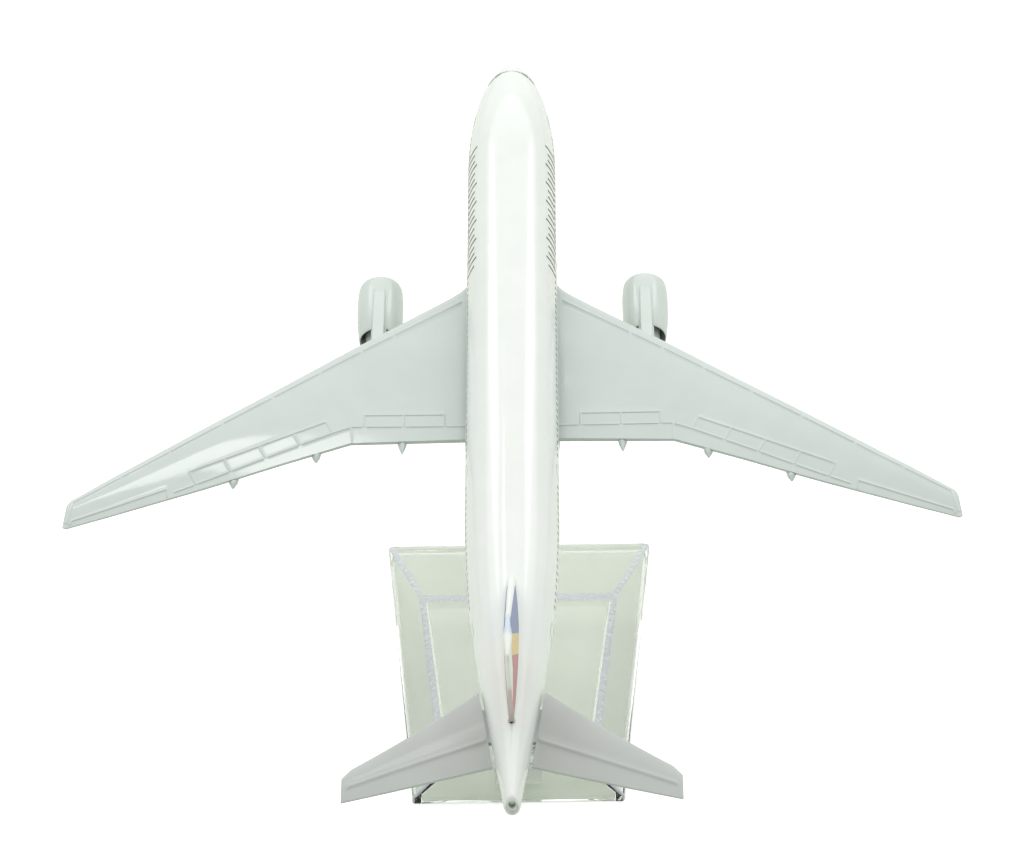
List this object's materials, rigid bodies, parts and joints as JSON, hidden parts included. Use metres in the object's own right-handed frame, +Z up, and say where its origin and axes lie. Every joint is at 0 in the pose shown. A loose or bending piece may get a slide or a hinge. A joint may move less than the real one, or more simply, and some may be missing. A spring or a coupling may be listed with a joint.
{
  "type": "desktop airliner model",
  "caption": "Desktop model of a wide-body twin-jet airliner: white die-cast body, grey swept wings and tailplanes, two engines, on a clear plastic stand with a leaning arm.",
  "frame": {"origin": "on the table plane, below the middle of the whole object's box", "axes": "+Y towards the aircraft's nose, +X to its right, +Z up; the aircraft is pitched 10 degrees nose up about +X"},
  "size_m": [0.1372, 0.1612, 0.0792],
  "materials": {
    "white_paint": "gloss",
    "grey_paint": "satin",
    "grey_plastic": "satin",
    "dark_plastic": "satin",
    "silver_plastic": "satin",
    "steel": "satin",
    "clear_plastic": "polished"
  },
  "bodies": {
    "base": {"stand_base": "clear_plastic"},
    "arm": {"stand_arm": "clear_plastic"},
    "pin": {"support_pin": "steel"},
    "aircraft": {"fuselage": "white_paint", "wing_casting": "grey_paint", "tailplane_left": "grey_paint", "tailplane_right": "grey_paint", "nacelle_left": "grey_plastic", "nacelle_right": "grey_plastic", "fan_left": "dark_plastic", "fan_right": "dark_plastic", "engine_core_left": "silver_plastic", "engine_core_right": "silver_plastic", "belly_screw_front": "steel", "belly_screw_rear": "steel"}
  },
  "joints": [
    {"name": "arm_lift", "type": "slide", "parent": "base", "child": "arm", "axis": [0, 0, 1], "range_m": [0, 0.012]},
    {"name": "swivel", "type": "hinge", "parent": "arm", "child": "pin", "pos_m": [0, 0.00553, 0.0582], "axis": [0, -0.1736, 0.9848], "continuous": true},
    {"name": "aircraft_lift", "type": "slide", "parent": "pin", "child": "aircraft", "axis": [0, -0.1736, 0.9848], "range_m": [0, 0.015]}
  ]
}
